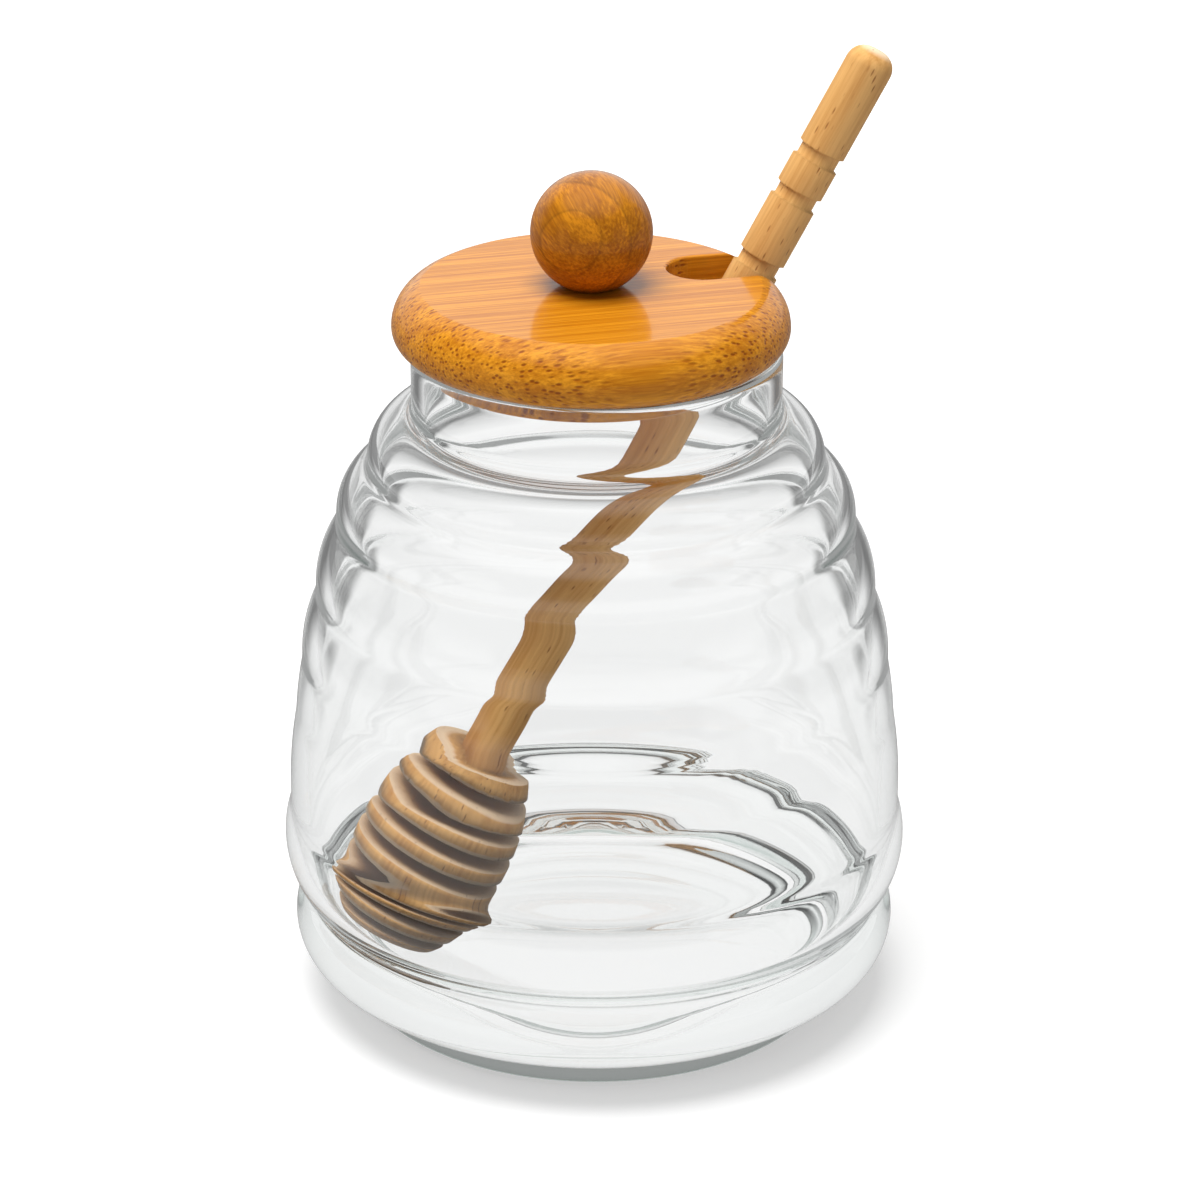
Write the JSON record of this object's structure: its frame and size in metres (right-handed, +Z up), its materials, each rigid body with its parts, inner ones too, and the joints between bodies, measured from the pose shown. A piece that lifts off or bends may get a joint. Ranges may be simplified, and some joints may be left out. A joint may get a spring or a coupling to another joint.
{
  "type": "honey dispenser",
  "caption": "Ribbed clear glass honey jar with a slotted wooden lid, a ball knob and a turned wooden dipper leaning out of the slot.",
  "frame": {"origin": "middle of the jar's foot, on the plane that it stands on", "axes": "+Z up along the jar, the dipper leans out towards +X and a little +Y"},
  "size_m": [0.0984, 0.0984, 0.1496],
  "materials": {
    "clear_glass": "clear, smooth",
    "bamboo": "satin, pressed bamboo",
    "dark_bamboo": "satin, pressed bamboo",
    "beech": "plain, sanded"
  },
  "bodies": {
    "root": {"jar": "clear_glass", "lid": "bamboo", "knob": "dark_bamboo", "dipper": "beech"}
  },
  "joints": []
}
